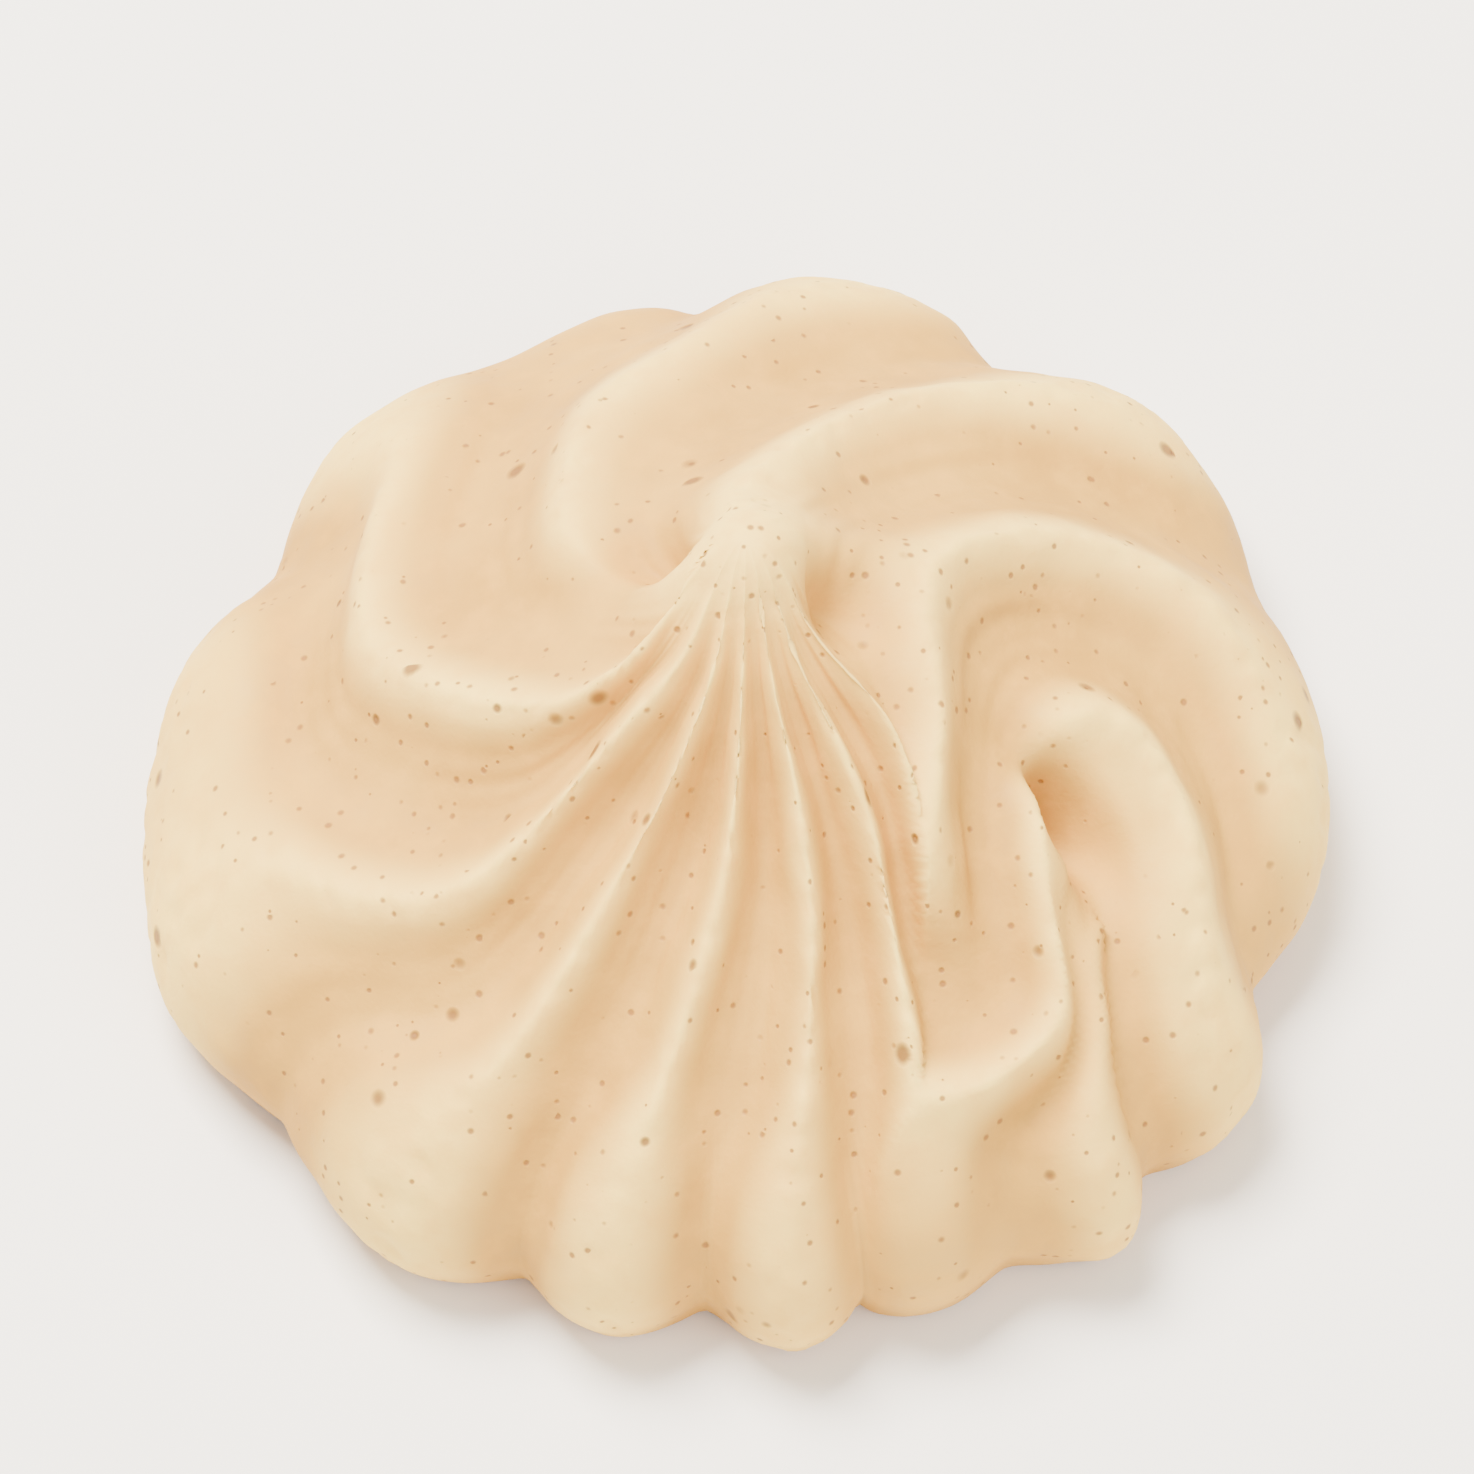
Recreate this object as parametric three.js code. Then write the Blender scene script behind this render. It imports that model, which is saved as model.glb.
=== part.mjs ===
// A small piped meringue cookie: one dry baked solid, squeezed through a nine-point star tip in one
// clockwise turn and pulled off to a peak. Millimetres, +Z up, flat baked base on z = 0.
import * as THREE from "three";

// overall sizes
const HALF_WIDTH = 25.4;          // rim of the cookie, left to right
const HALF_DEPTH = 26.2;          // rim of the cookie, front to back
const PEAK_HEIGHT = 25.0;         // top of the pulled-off peak above the base
const RIM_HEIGHT = 3.7;           // height at which the cookie is widest
const BASE_INSET = 1.5;           // how far the base edge is drawn in under the rim
const SHOULDER = 6.6;             // height of the round shoulder above the rim, the rest is a cone
const SHOULDER_TURN = 7;          // higher is a tighter turn from flank to rim
const CONE_BLUNT = 0.09;          // rounding of the cone's top, as share of the half width
const CONE_HOLLOW = 1.3;          // above 1 the flank between shoulder and peak is slightly hollow
const NOSE = { rise: 1.1, width: 2.4 };    // round nose on the cone's top, inside the peak height
const PEAK_AT = { x: 0.4, y: 0.2 };
const RIM_CENTRE = { x: 0.0, y: -0.2 };
// where the rim stands out from its ellipse or falls back: direction, amount, half width in degrees
const BULGES = [
  { at: 212, out: 1.3, wide: 34 },
  { at: 312, out: 1.5, wide: 26 },
  { at: 24, out: 1.2, wide: 24 },
  { at: 140, out: -1.0, wide: 28 },
];

// star tip and its path, newest squeeze first: centre x, centre y, radius of the squeezed ring
const STAR_POINTS = 9;
const STAR_TURN = 46.96;          // degrees, direction of the first ridge
const PATH = [
  { x: 0.4, y: 0.2, r: 0.0 },     // peak, where the tip was pulled away
  { x: 2.0, y: -5.8, r: 6.8 },
  { x: -1.7, y: -12.8, r: 12.5 },
  { x: -9.1, y: -7.8, r: 14.4 },
  { x: -7.1, y: 2.8, r: 15.9 },
  { x: -3.3, y: 6.3, r: 17.0 },
  { x: 3.5, y: 10.1, r: 17.9 },
  { x: 2.0, y: 7.0, r: 24.0 },
  { x: 0.0, y: 0.0, r: 32.0 },    // first squeeze, under everything else
];
const PATH_STEPS = 420;
const NEWEST_PART = 0.3;          // share of the path that makes the fan in front of the peak
// how far the soft foam has sagged to the front and side: constant, per mm right, per mm back
const SAG = { x: [-0.085, 0.113, -0.027], y: [1.597, -0.026, 0.066], from: 6 };
// ridges on the right of the fan close up between these two y
const FAN_CROWDING = { share: 0.022, low: -22, high: -10 };

// ridges and the valleys between them
const RIDGE_DEPTH = 1.95;         // crest to valley floor
const CREST_ROUNDING = 0.25;      // share of the relief lost to the rounding of each crest
const RIDGE_START = 6.5;          // distance from the peak over which the ridges rise
const RIDGE_TURN_IN = 21.0;       // from this distance the ridges begin to run straight out
const RIDGE_REACH = 23.4;         // at this distance they run straight over the rim and down
const RELIEF_TURN_IN = 22.0;      // the same two distances for the eye and the crevice
const RELIEF_REACH = 24.8;

// eye on the right, where the last turn folds over the first, and the crevice below it
const EYE = { x: 15.83, y: -7.98 };
const EYE_HOLE = { x: 14.8, y: -6.6, depth: 4.4, across: 1.25, along: 2.8, turn: -54 };
const CREVICE = { span: 18.0, bow: 14.0, hook: 18.0, depth: 1.4, width: 1.3 };
const EYE_SIDE_RIGHT = 1.05;      // how quickly ridges follow each other right of the eye
const EYE_SIDE_LEFT = 0.93;
const EYE_SIDE_LEFT_LOW = 1.38;
const EYE_UPWARD = 0.70;
const EYE_RING = 3.97;            // distance from the eye to the first ridge round it
// ridges per distance round the eye: outside the first ridge, inside it, and inside it low on the left
const EYE_GROWTH = { share: 0.188, power: 0.922, inner: 0.14, low: 0.24 };
const EYE_LIP = 0.35;             // share of the ridge depth left at the crevice
// the ridges left of the crevice close up between these two y
const EYE_FOLD = { above: -14, below: -21, share: 0.45 };
const FOLD_SOFTNESS = 0.35;       // rounding of the fold between the fan and the eye's rings, in ridges

// pits that the peak leaves behind it
const PITS = [
  { x: -4.6, y: 2.4, depth: 2.6, width: 2.3 },
  { x: 5.0, y: -0.6, depth: 2.3, width: 1.9 },
];

// surface grid
const AROUND = 132;
const CROWDING = { at: -40, share: 0.32 };  // columns stand closer together in front of the eye
const RINGS = 43;
const UNDER_RINGS = 2;

function smooth(from, to, value) {
  const t = Math.min(Math.max((value - from) / (to - from), 0), 1);
  return t * t * (3 - 2 * t);
}

// smooth curve through the path's stations
function pathPoint(t) {
  const last = PATH.length - 1;
  const i = Math.min(Math.floor(t * last), last - 1);
  const f = t * last - i;
  const a = PATH[Math.max(i - 1, 0)];
  const b = PATH[i];
  const c = PATH[i + 1];
  const d = PATH[Math.min(i + 2, last)];
  const blend = (p, q, u, v) => 0.5 * (2 * q + (u - p) * f + (2 * p - 5 * q + 4 * u - v) * f * f
    + (3 * q - p - 3 * u + v) * f * f * f);
  return {
    x: blend(a.x, b.x, c.x, d.x),
    y: blend(a.y, b.y, c.y, d.y),
    r: Math.max(blend(a.r, b.r, c.r, d.r), 0),
  };
}

const SQUEEZES = [];
for (let j = 0; j < PATH_STEPS; j += 1) SQUEEZES.push(pathPoint(j / (PATH_STEPS - 1)));

// ridge number round the centre of one squeezed ring
function ridgeRound(x, y, cx, cy) {
  const turn = Math.atan2(y - cy, x - cx) - THREE.MathUtils.degToRad(STAR_TURN);
  return turn * STAR_POINTS / (2 * Math.PI);
}

// ridge number from the newest ring that reaches a point of the plan, and the one from the closest
// ring of the fan in front of the peak, which goes on past the edge of the fan
function ridgesAt(x, y) {
  const fanSteps = Math.floor(NEWEST_PART * (PATH_STEPS - 1));
  let before = Math.hypot(x - SQUEEZES[0].x, y - SQUEEZES[0].y) - SQUEEZES[0].r;
  let closest = before;
  let fan = 0;
  for (let j = 1; j < PATH_STEPS; j += 1) {
    const ring = SQUEEZES[j];
    const gap = Math.hypot(x - ring.x, y - ring.y) - ring.r;
    if (gap <= 0) {
      const f = Math.min(Math.max(before / Math.max(before - gap, 1e-9), 0), 1);
      const last = SQUEEZES[j - 1];
      const newest = ridgeRound(x, y, last.x + (ring.x - last.x) * f, last.y + (ring.y - last.y) * f);
      return { newest, fan: j <= fanSteps ? newest : fan };
    }
    if (j <= fanSteps && gap < closest) {
      closest = gap;
      fan = ridgeRound(x, y, ring.x, ring.y);
    }
    before = gap;
  }
  return { newest: 0, fan };
}

// x of the crevice at a given y; above the eye it stays at the eye
function creviceX(y) {
  const t = Math.max(EYE.y - y, 0) / CREVICE.span;
  return EYE.x + CREVICE.bow * t * t - CREVICE.hook * t * t * t;
}

// distance from the eye and its crevice, stretched so that equal steps carry equal ridges
function eyeDistance(x, y) {
  const across = x - creviceX(y);
  const left = EYE_SIDE_LEFT + (EYE_SIDE_LEFT_LOW - EYE_SIDE_LEFT) * smooth(4, -6, y);
  const side = across > 0 ? EYE_SIDE_RIGHT : left;
  return Math.hypot(across * side, EYE_UPWARD * Math.max(y - EYE.y, 0));
}

// ridge number of the rings round the eye
function ridgesRoundEye(x, y) {
  const away = eyeDistance(x, y);
  const right = x > creviceX(y);
  const inner = EYE_GROWTH.inner + (right ? 0 : EYE_GROWTH.low * smooth(-9, -14, y));
  const outer = EYE_GROWTH.share * Math.pow(Math.max(away - EYE_RING, 0), EYE_GROWTH.power);
  const number = away > EYE_RING ? 7 + outer : 7 - inner * (EYE_RING - away);
  if (right) return number;
  return number - (number - 5.4) * EYE_FOLD.share * smooth(EYE_FOLD.above, EYE_FOLD.below, y);
}

// number moved by whole turns of the star into the turn that starts at from
function inTurn(number, from) {
  return number - STAR_POINTS * Math.floor((number - from) / STAR_POINTS);
}

// point of the plan drawn in so that nothing lies further out than reach
function heldWithin(x, y, turnIn, reach) {
  const from = Math.hypot(x, y);
  if (from < turnIn) return { x, y };
  const band = reach - turnIn;
  const held = (turnIn + band * Math.tanh((from - turnIn) / band)) / from;
  return { x: x * held, y: y * held };
}

// ridge number at a point of the plan: whole numbers are crests, halves are valley floors
function ridgeNumber(x, y) {
  const settled = smooth(0, SAG.from, Math.hypot(x - PEAK_AT.x, y - PEAK_AT.y));
  const sag = (part) => (part[0] + part[1] * x + part[2] * y) * settled;
  const at = heldWithin(x + sag(SAG.x), y + sag(SAG.y), RIDGE_TURN_IN, RIDGE_REACH);
  const newest = ridgesAt(at.x, at.y).newest;
  const closing = smooth(FAN_CROWDING.low, FAN_CROWDING.high, at.y);
  const crowded = at.x + FAN_CROWDING.share * Math.pow(Math.max(at.x, 0), 2) * closing;
  const angle = THREE.MathUtils.radToDeg(Math.atan2(y - PEAK_AT.y, x - PEAK_AT.x));
  const round = ridgesRoundEye(x, y);
  // fan and eye rings meet in a soft fold on the right of the peak
  const fan = inTurn(ridgesAt(crowded, at.y).fan, 3);
  const h = Math.min(Math.max(0.5 + 0.5 * (round - fan) / FOLD_SOFTNESS, 0), 1);
  const fold = (fan - round) * h - FOLD_SOFTNESS * h * (1 - h);
  const lee = round + fold * smooth(60, 30, angle);
  if (angle > 0) {
    const near = inTurn(newest, round - STAR_POINTS / 2);
    return lee + (near - lee) * smooth(97, 122, angle);
  }
  const front = inTurn(newest, 3);
  return front + (inTurn(lee, front - STAR_POINTS / 2) - front) * smooth(-112, -98, angle);
}

// how far the surface lies below the crests: on top thin crests and round valleys, on the rim round
// lobes and thin notches
function valley(number, rim) {
  const e = CREST_ROUNDING;
  const soften = (value) => (Math.sqrt(value * value + e * e) - e) / (Math.sqrt(1 + e * e) - e);
  const top = soften(Math.sin(Math.PI * number));
  const side = 1 - soften(Math.cos(Math.PI * number));
  return top + (side - top) * rim;
}

// depth of the relief at a point of the plan: ridges, nose, eye, crevice and pits together
function relief(x, y) {
  const held = heldWithin(x, y, RELIEF_TURN_IN, RELIEF_REACH);
  const px = held.x;
  const py = held.y;
  const fromPeak = Math.hypot(px - PEAK_AT.x, py - PEAK_AT.y);
  const rise = 1 - Math.exp(-Math.pow(fromPeak / RIDGE_START, 2));
  const lip = EYE_LIP + (1 - EYE_LIP) * smooth(1, 6, eyeDistance(px, py));
  const rim = smooth(18.5, 25, Math.hypot(x, y));
  let depth = RIDGE_DEPTH * rise * lip * valley(ridgeNumber(px, py), rim);
  depth -= NOSE.rise * Math.exp(-Math.pow(fromPeak / NOSE.width, 2));
  const off = Math.abs(px - creviceX(py));
  const below = smooth(EYE.y + 1.5, EYE.y - 2.5, py);
  depth += CREVICE.depth * below * Math.exp(-Math.pow(off / CREVICE.width, 2));
  const lean = THREE.MathUtils.degToRad(EYE_HOLE.turn);
  const along = (px - EYE_HOLE.x) * Math.cos(lean) + (py - EYE_HOLE.y) * Math.sin(lean);
  const across = (py - EYE_HOLE.y) * Math.cos(lean) - (px - EYE_HOLE.x) * Math.sin(lean);
  const eyeOff = Math.hypot(along / EYE_HOLE.along, across / EYE_HOLE.across);
  depth += EYE_HOLE.depth * Math.exp(-Math.pow(eyeOff, 2));
  for (const pit of PITS) {
    depth += pit.depth * Math.exp(-Math.pow(Math.hypot(px - pit.x, py - pit.y) / pit.width, 2));
  }
  return depth;
}

// side outline from peak to base edge, as share of the rim radius and as height
function outline(t) {
  const rimAt = 0.86;
  if (t <= rimAt) {
    const a = t / rimAt;
    const out = Math.sin(a * Math.PI / 2);
    const blunt = (value) => Math.sqrt(value * value + CONE_BLUNT * CONE_BLUNT) - CONE_BLUNT;
    const cone = Math.pow(1 - blunt(out) / blunt(1), CONE_HOLLOW);
    const shoulder = Math.sqrt(Math.max(1 - Math.pow(out, SHOULDER_TURN), 0));
    const height = RIM_HEIGHT + SHOULDER * shoulder + (PEAK_HEIGHT - NOSE.rise - RIM_HEIGHT - SHOULDER) * cone;
    return { out, height };
  }
  const b = (t - rimAt) / (1 - rimAt);
  const inset = BASE_INSET / HALF_WIDTH;
  return { out: 1 - inset * b * b, height: RIM_HEIGHT * (1 - b) };
}

// how far the rim stands out from its ellipse in one direction
function rimBulge(turn) {
  let sum = 0;
  for (const bulge of BULGES) {
    const off = THREE.MathUtils.euclideanModulo(THREE.MathUtils.radToDeg(turn) - bulge.at + 180, 360) - 180;
    sum += bulge.out * Math.exp(-Math.pow(off / bulge.wide, 2));
  }
  return sum;
}

function surfacePoint(t, turn) {
  const here = outline(t);
  const ahead = outline(Math.min(t + 0.002, 1));
  const behind = outline(Math.max(t - 0.002, 0));
  const dr = (ahead.out - behind.out) * HALF_WIDTH;
  const dz = ahead.height - behind.height;
  const long = Math.hypot(dr, dz);
  const normalOut = -dz / long;
  const normalUp = dr / long;
  const shift = 1 - here.out;
  const cx = RIM_CENTRE.x + (PEAK_AT.x - RIM_CENTRE.x) * shift;
  const cy = RIM_CENTRE.y + (PEAK_AT.y - RIM_CENTRE.y) * shift;
  const bulge = rimBulge(turn);
  const x = cx + here.out * (HALF_WIDTH + bulge) * Math.cos(turn);
  const y = cy + here.out * (HALF_DEPTH + bulge) * Math.sin(turn);
  const depth = relief(x, y);
  const grounded = smooth(1.0, 0.9, t);
  const z = Math.max(here.height - depth * normalUp * grounded, 0);
  return [x - depth * normalOut * Math.cos(turn), y - depth * normalOut * Math.sin(turn), z];
}

// direction of a grid column
function columnTurn(k) {
  const even = k / AROUND * 2 * Math.PI;
  return even - CROWDING.share * Math.sin(even - THREE.MathUtils.degToRad(CROWDING.at));
}

function meringueGeometry() {
  const position = [];
  const index = [];
  position.push(PEAK_AT.x, PEAK_AT.y, PEAK_HEIGHT);
  for (let ring = 1; ring <= RINGS; ring += 1) {
    for (let k = 0; k < AROUND; k += 1) {
      position.push(...surfacePoint(ring / RINGS, columnTurn(k)));
    }
  }
  const edge = 1 + (RINGS - 1) * AROUND;
  for (let ring = 1; ring <= UNDER_RINGS; ring += 1) {
    const share = 1 - ring / (UNDER_RINGS + 1);
    for (let k = 0; k < AROUND; k += 1) {
      const at = (edge + k) * 3;
      position.push(position[at] * share, position[at + 1] * share, 0);
    }
  }
  const centre = position.length / 3;
  position.push(0, 0, 0);
  for (let k = 0; k < AROUND; k += 1) index.push(0, 1 + k, 1 + (k + 1) % AROUND);
  for (let ring = 0; ring < RINGS + UNDER_RINGS - 1; ring += 1) {
    for (let k = 0; k < AROUND; k += 1) {
      const a = 1 + ring * AROUND + k;
      const b = 1 + ring * AROUND + (k + 1) % AROUND;
      index.push(a, a + AROUND, b + AROUND);
      index.push(a, b + AROUND, b);
    }
  }
  const inner = 1 + (RINGS + UNDER_RINGS - 1) * AROUND;
  for (let k = 0; k < AROUND; k += 1) index.push(inner + k, centre, inner + (k + 1) % AROUND);
  const geometry = new THREE.BufferGeometry();
  geometry.setAttribute("position", new THREE.Float32BufferAttribute(position, 3));
  geometry.setIndex(index);
  geometry.computeBoundingBox();
  const middle = geometry.boundingBox.getCenter(new THREE.Vector3());
  geometry.translate(-middle.x, -middle.y, 0);
  geometry.computeVertexNormals();
  return geometry;
}

const baked = new THREE.MeshStandardMaterial({ color: "#efdcb9", roughness: 0.85, metalness: 0 });
const meringue = new THREE.Mesh(meringueGeometry(), baked);
meringue.name = "meringue";

const cookie = new THREE.Group();
cookie.name = "meringue_cookie";
cookie.add(meringue);

export default cookie;
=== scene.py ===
"""A small piped meringue cookie, dry baked egg-white foam, on a pale studio floor."""
import math

import bmesh
import bpy
import numpy as np
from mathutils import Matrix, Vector


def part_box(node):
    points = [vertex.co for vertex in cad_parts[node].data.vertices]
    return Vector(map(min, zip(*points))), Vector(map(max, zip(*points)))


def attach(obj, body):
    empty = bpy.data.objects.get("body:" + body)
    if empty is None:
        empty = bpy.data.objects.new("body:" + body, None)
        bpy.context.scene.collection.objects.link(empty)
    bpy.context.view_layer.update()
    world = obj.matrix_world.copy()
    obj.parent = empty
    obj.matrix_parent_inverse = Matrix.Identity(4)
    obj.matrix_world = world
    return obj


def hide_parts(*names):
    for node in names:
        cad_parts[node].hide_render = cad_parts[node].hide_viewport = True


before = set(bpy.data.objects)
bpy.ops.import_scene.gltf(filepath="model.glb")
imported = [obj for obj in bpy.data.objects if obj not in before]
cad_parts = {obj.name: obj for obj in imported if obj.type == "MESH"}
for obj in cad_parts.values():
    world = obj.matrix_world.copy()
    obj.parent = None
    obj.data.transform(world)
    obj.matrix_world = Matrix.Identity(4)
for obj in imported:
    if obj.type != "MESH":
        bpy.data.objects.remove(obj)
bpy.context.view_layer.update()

MM = 0.001
SEED = 2611

# cookie, in millimetres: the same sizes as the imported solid, only with sharper crests
HALF_WIDTH = 25.4
HALF_DEPTH = 26.2
PEAK_HEIGHT = 25.0
RIM_HEIGHT = 3.7                  # height at which the cookie is widest
BASE_INSET = 1.5                  # how far the base edge is drawn in under the rim
SHOULDER = 6.6                    # height of the round shoulder above the rim, the rest is a cone
SHOULDER_TURN = 7
CONE_BLUNT = 0.09
CONE_HOLLOW = 1.3
NOSE_RISE, NOSE_WIDTH = 1.1, 2.4  # round nose on the cone's top, inside the peak height
RIM_AT = 0.86                     # share of the side outline at which the cookie is widest
PEAK_AT = (0.4, 0.2)
RIM_CENTRE = (0.0, -0.2)
# where the rim stands out from its ellipse or falls back: direction, amount, half width in degrees
BULGES = [(212, 1.3, 34), (312, 1.5, 26), (24, 1.2, 24), (140, -1.0, 28)]

# star tip and its path, newest squeeze first: centre x, centre y, radius of the squeezed ring
STAR_POINTS = 9
STAR_TURN = math.radians(46.96)
PATH = [(0.4, 0.2, 0.0), (2.0, -5.8, 6.8), (-1.7, -12.8, 12.5), (-9.1, -7.8, 14.4),
        (-7.1, 2.8, 15.9), (-3.3, 6.3, 17.0), (3.5, 10.1, 17.9), (2.0, 7.0, 24.0), (0.0, 0.0, 32.0)]
PATH_STEPS = 420
NEWEST_PART = 0.3                 # share of the path that makes the fan in front of the peak
# how far the soft foam has sagged to the front and side: constant, per mm right, per mm back
SAG_X, SAG_Y, SAG_FROM = (-0.085, 0.113, -0.027), (1.597, -0.026, 0.066), 6
FAN_CROWDING = 0.022              # ridges on the right of the fan close up between these two y
FAN_CROWDING_LOW, FAN_CROWDING_HIGH = -22, -10
TURN_START = 3                    # ridge number at which the star's turn is taken to start

# ridges and valleys: depth, rounding of the crests, distance from the peak over which they rise, and
# the distances between which they turn to run straight out over the rim as round lobes
RIDGE_DEPTH = 1.95
CREST_ROUNDING = 0.10
RIDGE_START = 6.5
RIDGE_TURN_IN, RIDGE_REACH = 21.0, 23.4
RELIEF_TURN_IN, RELIEF_REACH = 22.0, 24.8
LOBES_START, LOBES_FULL = 18.5, 25

# eye on the right, the crevice below it, and how quickly ridges follow each other round them
EYE_X, EYE_Y = 15.83, -7.98
HOLE_X, HOLE_Y, HOLE_TURN = 14.8, -6.6, math.radians(-54)
HOLE_DEPTH, HOLE_ACROSS, HOLE_ALONG = 4.4, 1.25, 2.8
CREVICE_SPAN, CREVICE_BOW, CREVICE_HOOK = 18.0, 14.0, 18.0
CREVICE_DEPTH, CREVICE_WIDTH = 1.4, 1.3
EYE_RING = 3.97                   # distance from the eye to the first ridge round it
EYE_SIDE_RIGHT, EYE_SIDE_LEFT, EYE_SIDE_LEFT_LOW = 1.05, 0.93, 1.38
EYE_UPWARD = 0.70
EYE_GROWTH, EYE_GROWTH_POWER = 0.188, 0.922
EYE_INNER, EYE_INNER_LOW = 0.14, 0.24
EYE_LIP = 0.35                    # share of the ridge depth left at the crevice
CLOSING_ABOVE, CLOSING_BELOW, CLOSING_SHARE = -14, -21, 0.45
CLOSING_RIDGE = 5.4               # ridge that the others close up to, left of the crevice
FOLD_SOFTNESS = 0.35              # rounding of the fold between the fan and the eye's rings
# directions from the peak, in degrees, between which the fan, the lee and the upper ridges blend
LEE_END, LEE_START = 60, 30
UPPER_START, UPPER_END = 97, 122
FAN_START, FAN_END = -112, -98

# pits that the peak leaves behind it: x, y, depth, width
PITS = [(-4.6, 2.4, 2.6, 2.3), (5.0, -0.6, 2.3, 1.9)]

# unevenness of the piped foam: size across in the plan and height
SOFT_LUMP, SMALL_LUMP = (8.0, 0.13), (2.6, 0.05)
DRAG_LINES = ((3, 0.05), (5, 0.035), (8, 0.03))   # lines from crest to crest, and their height
DRAG_PATCH = 9.0
TORN_CREST = (1.3, 0.16)
BASE_HOLLOW = 0.45
BASE_LUMP, BASE_GRAIN = (5.0, 0.10), (1.8, 0.05)

# surface grid of the fine cookie
AROUND = 440
RINGS_TOP = 150
RINGS_WALL = 24
RINGS_UNDER = 38


def smooth(start, end, value):
    """0 before start, 1 after end, and a soft step between them."""
    t = np.clip((value - start) / (end - start), 0, 1)
    return t * t * (3 - 2 * t)


def squeezes():
    """The star tip's rings along a smooth curve through the stations of PATH."""
    stations = np.array(PATH)
    last = len(stations) - 1
    rings = []
    for j in range(PATH_STEPS):
        t = j / (PATH_STEPS - 1) * last
        i = min(int(t), last - 1)
        f = t - i
        a, b, c, d = (stations[max(i - 1, 0)], stations[i], stations[i + 1],
                      stations[min(i + 2, last)])
        ring = 0.5 * (2 * b + (c - a) * f + (2 * a - 5 * b + 4 * c - d) * f ** 2
                      + (3 * b - a - 3 * c + d) * f ** 3)
        ring[2] = max(ring[2], 0)
        rings.append(ring)
    return np.array(rings)


RINGS_PIPED = squeezes()


def ridge_round(x, y, cx, cy):
    """Ridge number round the centre of one squeezed ring."""
    return (np.arctan2(y - cy, x - cx) - STAR_TURN) * STAR_POINTS / (2 * np.pi)


def piped_ridges(x, y):
    """Ridge number from the newest ring over each point, and from the closest ring of the fan."""
    fan_steps = int(NEWEST_PART * (PATH_STEPS - 1))
    newest = np.zeros_like(x)
    fan = np.zeros_like(x)
    closest = np.full(x.shape, 1e9)
    found = np.zeros(x.shape, bool)
    before = np.hypot(x - RINGS_PIPED[0, 0], y - RINGS_PIPED[0, 1]) - RINGS_PIPED[0, 2]
    for j in range(1, PATH_STEPS):
        cx, cy, radius = RINGS_PIPED[j]
        gap = np.hypot(x - cx, y - cy) - radius
        hit = (gap <= 0) & ~found
        f = np.clip(before / np.maximum(before - gap, 1e-9), 0, 1)
        lx, ly = RINGS_PIPED[j - 1, :2]
        here = ridge_round(x, y, lx + (cx - lx) * f, ly + (cy - ly) * f)
        newest = np.where(hit, here, newest)
        if j <= fan_steps:
            near = (gap < closest) & ~found
            fan = np.where(hit, here, np.where(near, ridge_round(x, y, cx, cy), fan))
            closest = np.where(near, gap, closest)
        found |= hit
        before = gap
    return newest, fan


def crevice_x(y):
    """x of the crevice at a given y. Above the eye it stays at the eye."""
    t = np.maximum(EYE_Y - y, 0) / CREVICE_SPAN
    return EYE_X + CREVICE_BOW * t ** 2 - CREVICE_HOOK * t ** 3


def eye_distance(x, y):
    """Distance from the eye and its crevice, stretched so that equal steps carry equal ridges."""
    across = x - crevice_x(y)
    left = EYE_SIDE_LEFT + (EYE_SIDE_LEFT_LOW - EYE_SIDE_LEFT) * smooth(4, -6, y)
    side = np.where(across > 0, EYE_SIDE_RIGHT, left)
    return np.hypot(across * side, EYE_UPWARD * np.maximum(y - EYE_Y, 0))


def ridges_round_eye(x, y):
    """Ridge number of the rings round the eye."""
    away = eye_distance(x, y)
    right = x > crevice_x(y)
    inner = np.where(right, EYE_INNER, EYE_INNER + EYE_INNER_LOW * smooth(-9, -14, y))
    outer = 7 + EYE_GROWTH * np.maximum(away - EYE_RING, 1e-9) ** EYE_GROWTH_POWER
    number = np.where(away > EYE_RING, outer, 7 - inner * (EYE_RING - away))
    share = CLOSING_SHARE * smooth(CLOSING_ABOVE, CLOSING_BELOW, y)
    return np.where(right, number, number - (number - CLOSING_RIDGE) * share)


def in_turn(number, start):
    """Number moved by whole turns of the star into the turn that starts at start."""
    return number - STAR_POINTS * np.floor((number - start) / STAR_POINTS)


def held_within(x, y, turn_in, reach):
    """Points of the plan drawn in so that none lies further out than reach."""
    away = np.maximum(np.hypot(x, y), 1e-9)
    band = reach - turn_in
    held = np.where(away < turn_in, away, turn_in + band * np.tanh((away - turn_in) / band)) / away
    return x * held, y * held


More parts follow.
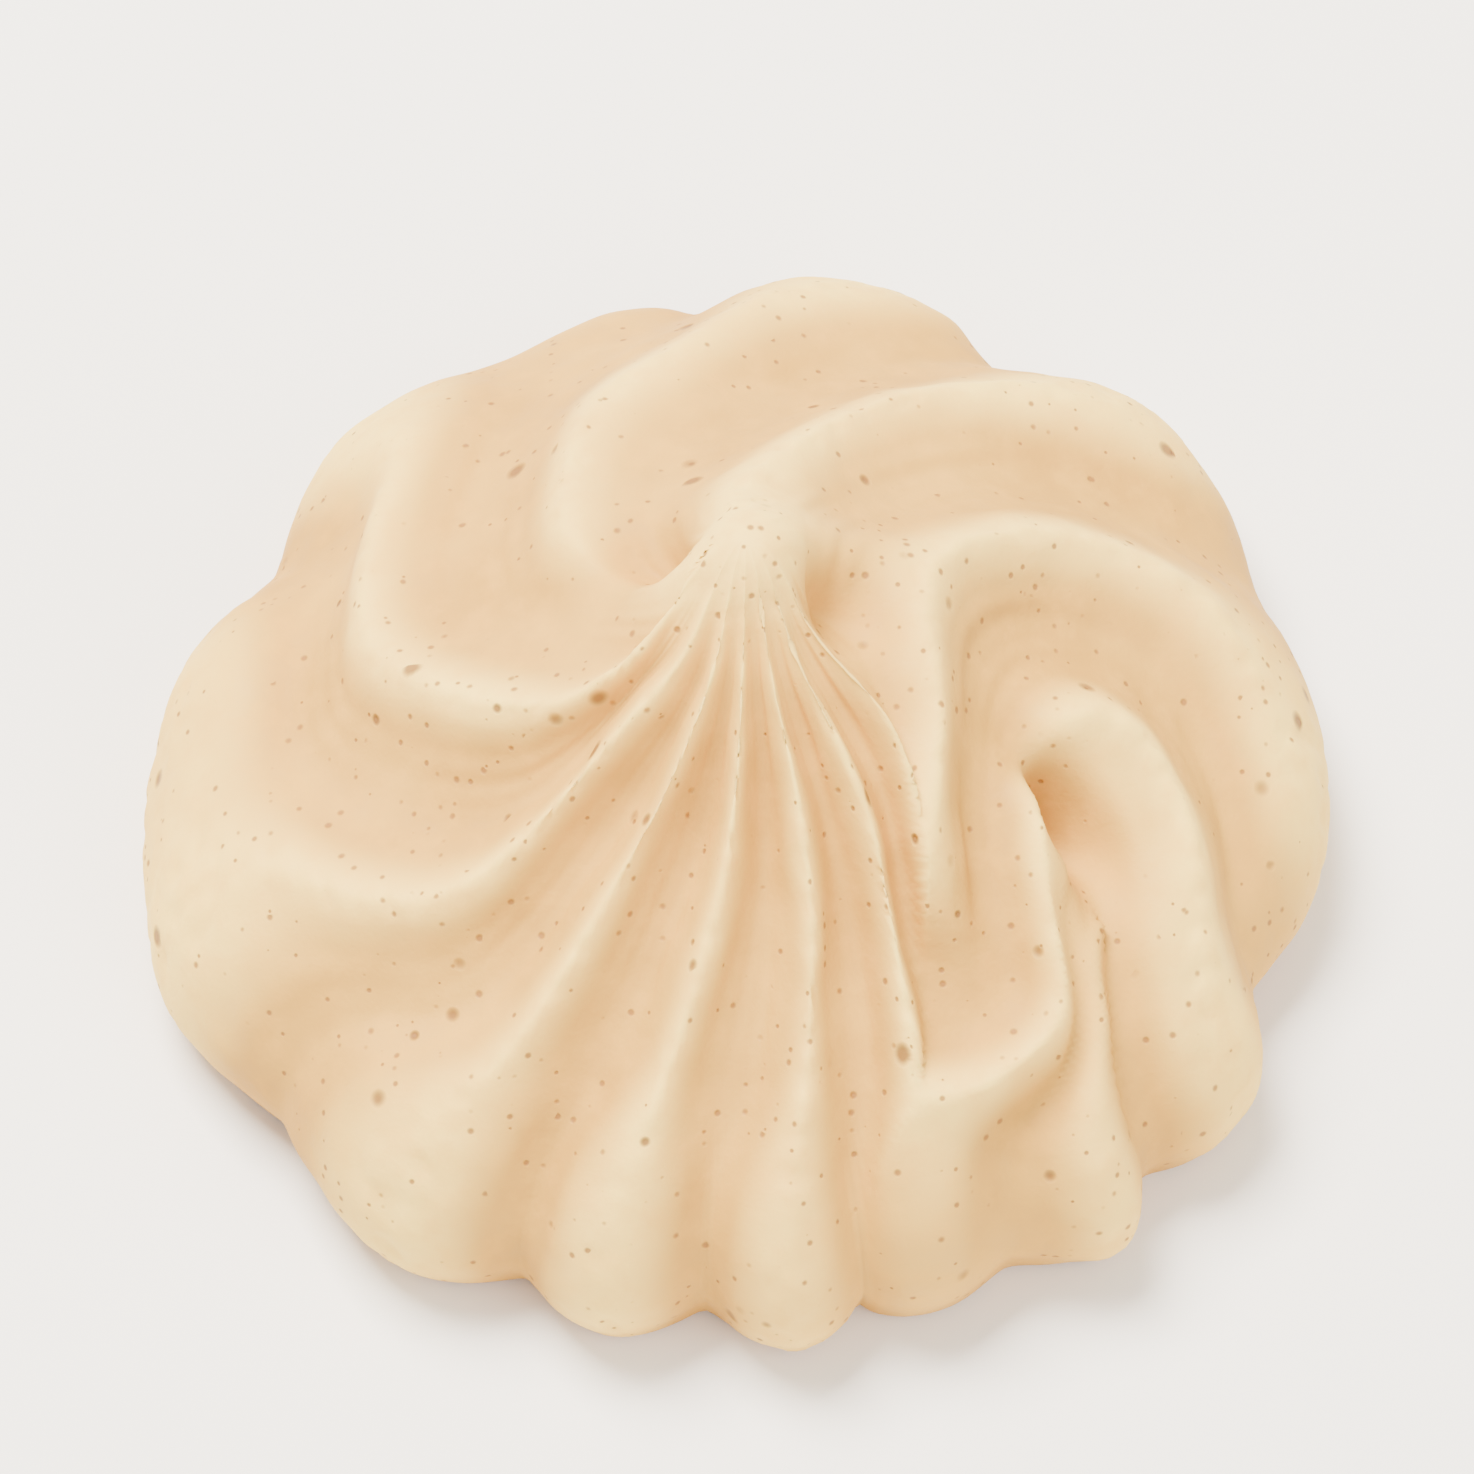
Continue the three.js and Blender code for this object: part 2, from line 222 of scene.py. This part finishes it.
def ridge_number(x, y):
    """Whole numbers are crests and halves are valley floors."""
    settled = smooth(0, SAG_FROM, np.hypot(x - PEAK_AT[0], y - PEAK_AT[1]))
    sag_x, sag_y = ((a + b * x + c * y) * settled for a, b, c in (SAG_X, SAG_Y))
    at_x, at_y = held_within(x + sag_x, y + sag_y, RIDGE_TURN_IN, RIDGE_REACH)
    newest = piped_ridges(at_x, at_y)[0]
    close = smooth(FAN_CROWDING_LOW, FAN_CROWDING_HIGH, at_y)
    crowded = at_x + FAN_CROWDING * np.maximum(at_x, 0) ** 2 * close
    fan = piped_ridges(crowded, at_y)[1]
    angle = np.degrees(np.arctan2(y - PEAK_AT[1], x - PEAK_AT[0]))
    round_eye = ridges_round_eye(x, y)
    fan = in_turn(fan, TURN_START)
    h = np.clip(0.5 + 0.5 * (round_eye - fan) / FOLD_SOFTNESS, 0, 1)
    fold = (fan - round_eye) * h - FOLD_SOFTNESS * h * (1 - h)
    lee = round_eye + fold * smooth(LEE_END, LEE_START, angle)
    near = in_turn(newest, round_eye - STAR_POINTS / 2)
    upper = lee + (near - lee) * smooth(UPPER_START, UPPER_END, angle)
    front = in_turn(newest, TURN_START)
    beside = in_turn(lee, front - STAR_POINTS / 2)
    lower = front + (beside - front) * smooth(FAN_START, FAN_END, angle)
    return np.where(angle > 0, upper, lower)


def valley(number, rim):
    """0 on a crest and 1 on a valley floor: thin crests on top, round lobes on the rim."""
    e = CREST_ROUNDING

    def soften(value):
        return (np.sqrt(value ** 2 + e * e) - e) / (math.sqrt(1 + e * e) - e)
    top = soften(np.sin(np.pi * number))
    side = 1 - soften(np.cos(np.pi * number))
    return top + (side - top) * rim


def relief(x, y):
    """Depth below the crests, how far into a valley each point lies, and its ridge number."""
    px, py = held_within(x, y, RELIEF_TURN_IN, RELIEF_REACH)
    from_peak = np.hypot(px - PEAK_AT[0], py - PEAK_AT[1])
    rise = 1 - np.exp(-(from_peak / RIDGE_START) ** 2)
    lip = EYE_LIP + (1 - EYE_LIP) * smooth(1, 6, eye_distance(px, py))
    number = ridge_number(px, py)
    sunk = rise * lip * valley(number, smooth(LOBES_START, LOBES_FULL, np.hypot(x, y)))
    depth = RIDGE_DEPTH * sunk - NOSE_RISE * np.exp(-(from_peak / NOSE_WIDTH) ** 2)
    off = px - crevice_x(py)
    below = smooth(EYE_Y + 1.5, EYE_Y - 2.5, py)
    crevice = below * np.exp(-(off / CREVICE_WIDTH) ** 2)
    along = (px - HOLE_X) * math.cos(HOLE_TURN) + (py - HOLE_Y) * math.sin(HOLE_TURN)
    across = (py - HOLE_Y) * math.cos(HOLE_TURN) - (px - HOLE_X) * math.sin(HOLE_TURN)
    eye = np.exp(-(along / HOLE_ALONG) ** 2 - (across / HOLE_ACROSS) ** 2)
    depth = depth + CREVICE_DEPTH * crevice + HOLE_DEPTH * eye
    # hollow also colours the skin tan: the crevice, the eye and the pits count as deep hollows, and the
    # tan there is partly painted shade
    hollow = sunk + 0.5 * crevice + 0.9 * eye
    for pit_x, pit_y, pit_depth, width in PITS:
        pit = np.exp(-(np.hypot(px - pit_x, py - pit_y) / width) ** 2)
        depth = depth + pit_depth * pit
        hollow = hollow + 0.7 * pit
    return depth, hollow, number


def outline(t):
    """Side outline from peak to base edge, as share of the rim's radius and as height."""
    out = np.sin(np.minimum(t / RIM_AT, 1) * np.pi / 2)

    def blunt(value):
        return np.sqrt(value ** 2 + CONE_BLUNT ** 2) - CONE_BLUNT
    cone = (1 - blunt(out) / blunt(1)) ** CONE_HOLLOW
    shoulder = np.sqrt(np.maximum(1 - out ** SHOULDER_TURN, 0))
    flank = PEAK_HEIGHT - NOSE_RISE - RIM_HEIGHT - SHOULDER
    height = RIM_HEIGHT + SHOULDER * shoulder + flank * cone
    b = (t - RIM_AT) / (1 - RIM_AT)
    under_rim = t > RIM_AT
    out = np.where(under_rim, 1 - BASE_INSET / HALF_WIDTH * b ** 2, out)
    return out, np.where(under_rim, RIM_HEIGHT * (1 - b), height)


def ring_stations():
    """Outline shares of the rings, evenly spaced along the surface above and below the rim."""
    fine = np.linspace(0, RIM_AT, 4000)
    out, height = outline(fine)
    run = np.concatenate([[0], np.cumsum(np.hypot(np.diff(out) * HALF_WIDTH, np.diff(height)))])
    top = np.interp(np.linspace(0, run[-1], RINGS_TOP + 1), run, fine)
    wall = np.linspace(RIM_AT, 1, RINGS_WALL + 1)[1:]
    return np.concatenate([top, wall])


def waves(points, length, count, rng):
    """Soft lumps of about the given size at each point: a sum of seeded plane waves, mostly -1 to 1."""
    total = np.zeros(points.shape[:-1])
    for _ in range(count):
        direction = rng.normal(size=3)
        direction *= 2 * np.pi / (length * rng.uniform(0.75, 1.35) * np.linalg.norm(direction))
        total += np.cos(points @ direction + rng.uniform(0, 2 * np.pi))
    return total / math.sqrt(count / 2) / 2


def outward(points):
    """Unit normals of a closed-round grid of points, ring by ring."""
    along = np.gradient(points, axis=0)
    around = (np.roll(points, -1, axis=1) - np.roll(points, 1, axis=1)) / 2
    normal = np.cross(along, around)
    return normal / np.maximum(np.linalg.norm(normal, axis=2, keepdims=True), 1e-12)


def top_surface():
    """Points of the piped surface from peak to base edge, with their valley share and ridge number."""
    share, turn = np.meshgrid(ring_stations(), np.arange(AROUND) / AROUND * 2 * np.pi, indexing="ij")
    out, height = outline(share)
    out_ahead, height_ahead = outline(np.minimum(share + 0.002, 1))
    out_behind, height_behind = outline(np.maximum(share - 0.002, 0))
    run = (out_ahead - out_behind) * HALF_WIDTH
    fall = height_ahead - height_behind
    long = np.maximum(np.hypot(run, fall), 1e-9)
    cx = RIM_CENTRE[0] + (PEAK_AT[0] - RIM_CENTRE[0]) * (1 - out)
    cy = RIM_CENTRE[1] + (PEAK_AT[1] - RIM_CENTRE[1]) * (1 - out)
    off = [(np.degrees(turn) - at + 180) % 360 - 180 for at, _, _ in BULGES]
    bulge = sum(amount * np.exp(-(o / wide) ** 2) for o, (_, amount, wide) in zip(off, BULGES))
    x = cx + out * (HALF_WIDTH + bulge) * np.cos(turn)
    y = cy + out * (HALF_DEPTH + bulge) * np.sin(turn)
    depth, hollow, number = relief(x, y)
    push_out = depth * -fall / long
    z = np.maximum(height - depth * run / long * smooth(1.0, 0.9, share), 0)
    points = np.dstack([x - push_out * np.cos(turn), y - push_out * np.sin(turn), z])
    return points, hollow, number, share


def hand_piped(points, hollow, number, share, rng):
    """The unevenness of real piped foam: soft lumps, drag lines along the ridges, torn crests."""
    normal = outward(points)
    crest = smooth(0.22, 0.0, hollow)
    loose = smooth(0.0, 0.06, share)
    lift = SOFT_LUMP[1] * waves(points, SOFT_LUMP[0], 14, rng)
    lift = lift + SMALL_LUMP[1] * waves(points, SMALL_LUMP[0], 18, rng)
    drag = sum(np.cos(2 * np.pi * (k * number + rng.uniform())) * size
               for k, size in DRAG_LINES)
    patches = 0.5 + 0.5 * waves(points, DRAG_PATCH, 10, rng)
    lift += drag * np.clip(patches, 0, 1) * smooth(0.05, 0.5, hollow) * smooth(1.0, 0.8, share)
    lift -= TORN_CREST[1] * crest * np.clip(waves(points, TORN_CREST[0], 20, rng), 0, 1)
    keep = smooth(1.0, 0.93, share)
    return points + normal * (lift * loose * keep)[..., None]


def under_surface(edge, rng):
    """Rings of the underside from the base edge in to its middle: flat, a little hollow, cracked."""
    inward = np.linspace(0, 1, RINGS_UNDER + 1)[1:]
    middle = edge.mean(axis=0)
    rings = edge[None] + (middle - edge)[None] * inward[:, None, None]
    from_middle = np.linalg.norm(rings[..., :2] - middle[:2], axis=2)
    hollow = BASE_HOLLOW * smooth(24, 12, from_middle)
    lumps = BASE_LUMP[1] * np.abs(waves(rings, BASE_LUMP[0], 14, rng))
    lumps = lumps + BASE_GRAIN[1] * np.abs(waves(rings, BASE_GRAIN[0], 18, rng))
    rings[..., 2] = hollow + lumps * smooth(0, 0.08, inward)[:, None]
    return rings


def cookie_points():
    """Whole surface ring by ring, from the peak down and under to the middle of the base."""
    rng = np.random.default_rng(SEED)
    points, hollow, number, share = top_surface()
    points = hand_piped(points, hollow, number, share, rng)
    points[..., 2] = np.maximum(points[..., 2], 0)
    under = under_surface(points[-1], rng)
    whole = np.concatenate([points, under])
    sunk = np.concatenate([hollow, np.zeros(under.shape[:2])])
    # the base edge is baked round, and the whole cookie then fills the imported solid's box
    for _ in range(4):
        base = len(points) - 1
        span = slice(base - 3, base + 3)
        soft = (whole[base - 4:base + 2] + whole[base - 2:base + 4]) / 2
        whole[span] = (whole[span] + soft) / 2
    low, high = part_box("meringue")
    size = np.array(high - low) / MM
    middle = np.array(high + low) / MM / 2
    mine_low = whole.reshape(-1, 3).min(axis=0)
    mine_high = whole.reshape(-1, 3).max(axis=0)
    fit = size / (mine_high - mine_low)
    whole = (whole - (mine_low + mine_high) / 2) * fit + middle
    return whole, sunk


def baked_cookie():
    """The cookie's mesh: a ball of rings whose points are drawn out to the piped surface."""
    points, sunk = cookie_points()
    rings = len(points) - 1
    bm = bmesh.new()
    bmesh.ops.create_uvsphere(bm, u_segments=AROUND, v_segments=rings, radius=1)
    hollow_layer = bm.verts.layers.float.new("hollow")
    for vert in bm.verts:
        ring = round(math.acos(max(-1.0, min(1.0, vert.co.z))) / math.pi * rings)
        column = round(math.atan2(vert.co.y, vert.co.x) / (2 * math.pi) * AROUND) % AROUND
        vert[hollow_layer] = float(sunk[ring, column])
        vert.co = Vector(points[ring, column]) * MM
    bmesh.ops.recalc_face_normals(bm, faces=bm.faces)
    mesh = bpy.data.meshes.new("piped_meringue")
    for face in bm.faces:
        face.smooth = True
        low = all(v.co.z < 0.9 * MM for v in face.verts)
        face.material_index = 1 if low and face.normal.z < -0.6 else 0
    bm.to_mesh(mesh)
    bm.free()
    cookie = bpy.data.objects.new("piped_meringue", mesh)
    bpy.context.scene.collection.objects.link(cookie)
    return cookie


def linear(hex_colour):
    """Linear RGBA of an sRGB hex colour."""
    channels = [int(hex_colour[i:i + 2], 16) / 255 for i in (1, 3, 5)]
    return tuple(c / 12.92 if c <= 0.04045 else ((c + 0.055) / 1.055) ** 2.4 for c in channels) + (1.0,)


def add(tree, kind, settings=None, **links):
    """A new node of that kind. Settings are its options and input values, links its input sources."""
    node = tree.nodes.new(kind)
    for name, value in (settings or {}).items():
        if hasattr(node, name):
            setattr(node, name, value)
        else:
            node.inputs[int(name) if name.isdigit() else name].default_value = value
    for name, source in links.items():
        key = int(name[1:]) if name[1:].isdigit() else name.replace("_", " ")
        tree.links.new(source, node.inputs[key])
    return node


def new_material(name):
    """An empty node material, its tree and its output node."""
    material = bpy.data.materials.new(name)
    material.use_nodes = True
    tree = material.node_tree
    tree.nodes.clear()
    return material, tree, tree.nodes.new("ShaderNodeOutputMaterial")


def mix_colour(tree, share, first, second, blend="MIX"):
    """Colour socket between two colours. Each colour is a socket or a hex value."""
    node = tree.nodes.new("ShaderNodeMix")
    node.data_type = "RGBA"
    node.blend_type = blend
    for socket, value in ((node.inputs[0], share), (node.inputs[6], first), (node.inputs[7], second)):
        if isinstance(value, str):
            socket.default_value = linear(value)
        elif isinstance(value, float):
            socket.default_value = value
        else:
            tree.links.new(value, socket)
    return node.outputs[2]


def maths(tree, operation, first, second=0.0, third=0.0):
    """Number socket from one sum. Each value is a socket or a number."""
    node = tree.nodes.new("ShaderNodeMath")
    node.operation = operation
    for socket, value in zip(node.inputs, (first, second, third)):
        if isinstance(value, (int, float)):
            socket.default_value = value
        else:
            tree.links.new(value, socket)
    return node.outputs[0]


def step_between(tree, value, start, end, low=0.0, high=1.0):
    """Number socket that goes softly from low at start to high at end."""
    node = add(tree, "ShaderNodeMapRange", {"interpolation_type": "SMOOTHSTEP"}, Value=value)
    for name, number in (("From Min", start), ("From Max", end), ("To Min", low), ("To Max", high)):
        if isinstance(number, (int, float)):
            node.inputs[name].default_value = number
        else:
            tree.links.new(number, node.inputs[name])
    return node.outputs[0]


def in_millimetres(tree):
    """Object coordinates in millimetres."""
    place = tree.nodes.new("ShaderNodeTexCoord").outputs["Object"]
    node = add(tree, "ShaderNodeMapping", {"Scale": (1 / MM,) * 3}, Vector=place)
    return node.outputs[0]


def noise(tree, place, size, detail=2.0, roughness=0.5):
    """Noise whose lumps are about size millimetres across."""
    node = add(tree, "ShaderNodeTexNoise",
               {"Scale": 1 / size, "Detail": detail, "Roughness": roughness}, Vector=place)
    return node.outputs[0]


def pores(tree, place, spacing, least, most, share, patches):
    """1 in the middle of each round pore and 0 outside: one cell in so many holds a pore."""
    cells = add(tree, "ShaderNodeTexVoronoi", {"Scale": 1 / spacing, "Randomness": 1.0}, Vector=place)
    chance = add(tree, "ShaderNodeSeparateColor", None, Color=cells.outputs["Color"])
    kept = step_between(tree, maths(tree, "ADD", chance.outputs[0], patches), 1 - share, 1.0)
    radius = maths(tree, "MULTIPLY_ADD", chance.outputs[1], (most - least) / spacing, least / spacing)
    inside = maths(tree, "DIVIDE", cells.outputs["Distance"], radius)
    spot = step_between(tree, inside, 1.0, 0.35)
    return maths(tree, "MULTIPLY", spot, maths(tree, "GREATER_THAN", kept, 0.02))


def baked_foam():
    """Baked meringue, egg-white foam piped and dried: pale cream and matt, tan in its valleys, partly
    painted shade.
    """
    material, tree, output = new_material("meringue_baked_foam")
    place = in_millimetres(tree)
    hollow = add(tree, "ShaderNodeAttribute", {"attribute_name": "hollow"}).outputs["Fac"]
    clouds = noise(tree, place, 9.0, 3.0)
    mottle = noise(tree, place, 1.6, 3.0, 0.6)
    height = add(tree, "ShaderNodeSeparateXYZ", None, Vector=place).outputs[2]
    # dried skin: cream on the crests and darker tan in the valleys, the eye, the crevice and the pits,
    # partly its own tone and partly painted shade, and warmer towards the tray. The colours are set
    # deeper than the skin looks, because the strong soft light pales them
    valley_tone_and_painted_shade = step_between(tree, maths(tree, "MULTIPLY_ADD", clouds, 0.5, hollow), 0.12, 0.98)
    colour = mix_colour(tree, valley_tone_and_painted_shade, "#FBD46C", "#BF8D37")
    colour = mix_colour(tree, step_between(tree, clouds, 0.35, 0.7, 0.0, 0.35), colour, "#E9B755")
    colour = mix_colour(tree, step_between(tree, mottle, 0.4, 0.75, 0.0, 0.30), colour, "#E2A94C")
    colour = mix_colour(tree, step_between(tree, height, 3.5, 0.2, 0.0, 0.55), colour, "#B9863A")
    # burst bubbles, browned by the sugar in them
    patches = step_between(tree, noise(tree, place, 7.0, 1.0), 0.42, 0.66, -0.20, 0.16)
    fine = pores(tree, place, 0.62, 0.08, 0.22, 0.44, patches)
    coarse = pores(tree, place, 1.9, 0.20, 0.62, 0.28, patches)
    colour = mix_colour(tree, maths(tree, "MULTIPLY", fine, 0.80), colour, "#8A5A28")
    colour = mix_colour(tree, maths(tree, "MULTIPLY", coarse, 0.85), colour, "#7A4E20")
    grain = noise(tree, place, 0.22, 2.0)
    rise = maths(tree, "MULTIPLY_ADD", mottle, 0.10, maths(tree, "MULTIPLY", grain, 0.025))
    rise = maths(tree, "SUBTRACT", rise, maths(tree, "MULTIPLY", fine, 0.10))
    rise = maths(tree, "SUBTRACT", rise, maths(tree, "MULTIPLY", coarse, 0.28))
    bump = add(tree, "ShaderNodeBump", {"Strength": 0.55, "Distance": MM}, Height=rise)
    skin = add(tree, "ShaderNodeBsdfPrincipled", {
        "IOR": 1.45, "Specular IOR Level": 0.35, "Subsurface Weight": 0.15,
        "Subsurface Radius": (1.0, 0.8, 0.55), "Subsurface Scale": 1.0 * MM,
    }, Base_Color=colour, Normal=bump.outputs[0],
        Roughness=step_between(tree, mottle, 0.3, 0.7, 0.62, 0.80))
    tree.links.new(skin.outputs[0], output.inputs[0])
    return material


def browned_base():
    """The base of a baked meringue, dried against the baking paper: golden brown, cracked, open."""
    material, tree, output = new_material("meringue_browned_base")
    place = in_millimetres(tree)
    clouds = noise(tree, place, 8.0, 4.0, 0.6)
    mottle = noise(tree, place, 1.2, 3.0, 0.6)
    colour = mix_colour(tree, step_between(tree, clouds, 0.3, 0.7), "#D69C58", "#AD6F30")
    colour = mix_colour(tree, step_between(tree, mottle, 0.4, 0.8, 0.0, 0.5), colour, "#E6B475")
    edges = add(tree, "ShaderNodeTexVoronoi", {"feature": "DISTANCE_TO_EDGE", "Scale": 1 / 6.5},
                Vector=place).outputs[0]
    crack = step_between(tree, maths(tree, "MULTIPLY_ADD", mottle, 0.05, edges), 0.055, 0.03)
    holes = pores(tree, place, 1.5, 0.15, 0.50, 0.35, 0.0)
    colour = mix_colour(tree, maths(tree, "MULTIPLY", crack, 0.7), colour, "#7C4A1C")
    colour = mix_colour(tree, maths(tree, "MULTIPLY", holes, 0.8), colour, "#6E3F17")
    rise = maths(tree, "MULTIPLY", mottle, 0.12)
    rise = maths(tree, "SUBTRACT", rise, maths(tree, "MULTIPLY", holes, 0.35))
    rise = maths(tree, "SUBTRACT", rise, maths(tree, "MULTIPLY", crack, 0.25))
    bump = add(tree, "ShaderNodeBump", {"Strength": 0.6, "Distance": MM}, Height=rise)
    skin = add(tree, "ShaderNodeBsdfPrincipled", {
        "IOR": 1.45, "Specular IOR Level": 0.3, "Subsurface Weight": 0.15,
        "Subsurface Radius": (1.0, 0.6, 0.34), "Subsurface Scale": 1.0 * MM,
    }, Base_Color=colour, Normal=bump.outputs[0],
        Roughness=step_between(tree, mottle, 0.3, 0.7, 0.7, 0.85))
    tree.links.new(skin.outputs[0], output.inputs[0])
    return material


def studio_floor():
    """A plain pale floor, large enough to fill any view."""
    bm = bmesh.new()
    bmesh.ops.create_grid(bm, x_segments=1, y_segments=1, size=3.0)
    mesh = bpy.data.meshes.new("studio_floor")
    bm.to_mesh(mesh)
    bm.free()
    floor = bpy.data.objects.new("studio_floor", mesh)
    bpy.context.scene.collection.objects.link(floor)
    material, tree, output = new_material("studio_floor_paper")
    fibres = noise(tree, in_millimetres(tree), 40.0, 2.0)
    colour = mix_colour(tree, step_between(tree, fibres, 0.3, 0.7), "#F4F1EC", "#F1EEE8")
    paper = add(tree, "ShaderNodeBsdfPrincipled", {"Roughness": 0.9}, Base_Color=colour)
    tree.links.new(paper.outputs[0], output.inputs[0])
    mesh.materials.append(material)
    return floor


def soft_light(name, place, size, power, colour, target):
    """A square soft box that shines at the target."""
    lamp = bpy.data.lights.new(name, "AREA")
    lamp.size = size
    lamp.energy = power
    lamp.color = linear(colour)[:3]
    box = bpy.data.objects.new(name, lamp)
    box.location = place
    box.rotation_euler = (target - Vector(place)).to_track_quat("-Z", "Y").to_euler()
    bpy.context.scene.collection.objects.link(box)


def studio(target):
    """Even pale surroundings, a soft key from above and behind, a weaker fill from the front right."""
    world = bpy.data.worlds.new("studio")
    world.use_nodes = True
    background = world.node_tree.nodes["Background"]
    background.inputs[0].default_value = linear("#FFFDF9")
    background.inputs[1].default_value = 1.2
    bpy.context.scene.world = world
    soft_light("key", (-0.16, 0.18, 0.55), 0.30, 16.0, "#FFF8EE", target)
    soft_light("fill", (0.36, -0.34, 0.40), 0.45, 4.0, "#FFFBF5", target)


def camera(target):
    """Long lens, 60 degrees above the floor, looking along +Y as the photograph does."""
    lens = bpy.data.cameras.new("camera")
    lens.lens = 250
    lens.sensor_width = 36
    lens.clip_start = 0.01
    lens.clip_end = 20
    eye = bpy.data.objects.new("camera", lens)
    elevation = math.radians(60)
    away = 0.44
    back = Vector((0, -math.cos(elevation), math.sin(elevation)))
    eye.location = target + back * away
    eye.rotation_euler = (-back).to_track_quat("-Z", "Y").to_euler()
    bpy.context.scene.collection.objects.link(eye)
    bpy.context.scene.camera = eye


cookie = baked_cookie()
cookie.data.materials.append(baked_foam())
cookie.data.materials.append(browned_base())
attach(cookie, "root")
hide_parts("meringue")

floor = studio_floor()
middle = Vector((0, 0, 0.0095))
studio(middle)
camera(middle)
